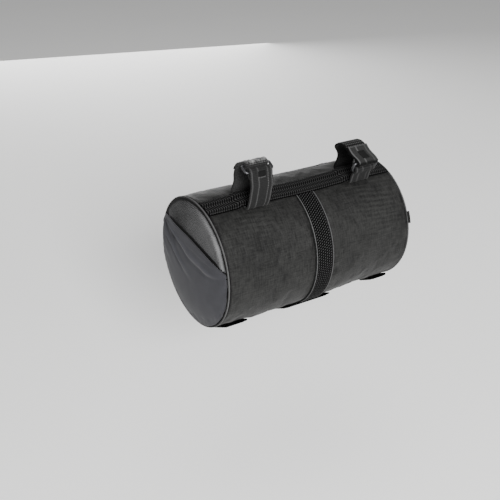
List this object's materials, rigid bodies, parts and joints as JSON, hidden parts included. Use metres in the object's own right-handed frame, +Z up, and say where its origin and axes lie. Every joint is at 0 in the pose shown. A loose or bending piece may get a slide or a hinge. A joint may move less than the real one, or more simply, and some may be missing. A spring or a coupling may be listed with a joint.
{
  "type": "bicycle handlebar bag",
  "caption": "Soft cylindrical roll bag for a bicycle handlebar, hung on hook-and-loop straps with wire rings, with stretch pockets over its ends.",
  "frame": {"origin": "on the axis of the handlebar that the bag hangs on, midway between its two straps", "axes": "+X along the handlebar to the rider's right, +Y forward along the road, +Z up"},
  "size_m": [0.2932, 0.1632, 0.2098],
  "materials": {
    "shell_cloth": "coated ripstop weave, dull",
    "end_cloth": "plain weave, dull",
    "stretch_cloth": "smooth stretch knit",
    "webbing": "ribbed grosgrain webbing",
    "band": "ribbed band with bound edges",
    "strap": "hook-and-loop tape, fuzzy",
    "strap_webbing": "woven webbing with stitch lines",
    "piping": "covered cord",
    "zip_tape": "zip tape and teeth",
    "ring_wire": "dark plated wire",
    "patch": "plain stitched patch"
  },
  "bodies": {
    "root": {"barrel": "shell_cloth", "zipper": "zip_tape", "top_webbing": "webbing", "centre_band": "band", "end_panel_left": "end_cloth", "end_panel_right": "end_cloth", "side_pocket_left": "stretch_cloth", "side_pocket_right": "stretch_cloth", "rim_piping_left": "piping", "rim_piping_right": "piping", "bar_strap_left": "strap", "bar_strap_right": "strap", "ring_loop_left": "strap_webbing", "ring_loop_right": "strap_webbing", "strap_ring_left": "ring_wire", "strap_ring_right": "ring_wire", "strap_patch_left": "patch", "strap_patch_right": "patch", "bottom_loop_left": "webbing", "bottom_loop_middle": "webbing", "bottom_loop_right": "webbing", "side_tab_right": "webbing"}
  },
  "joints": []
}
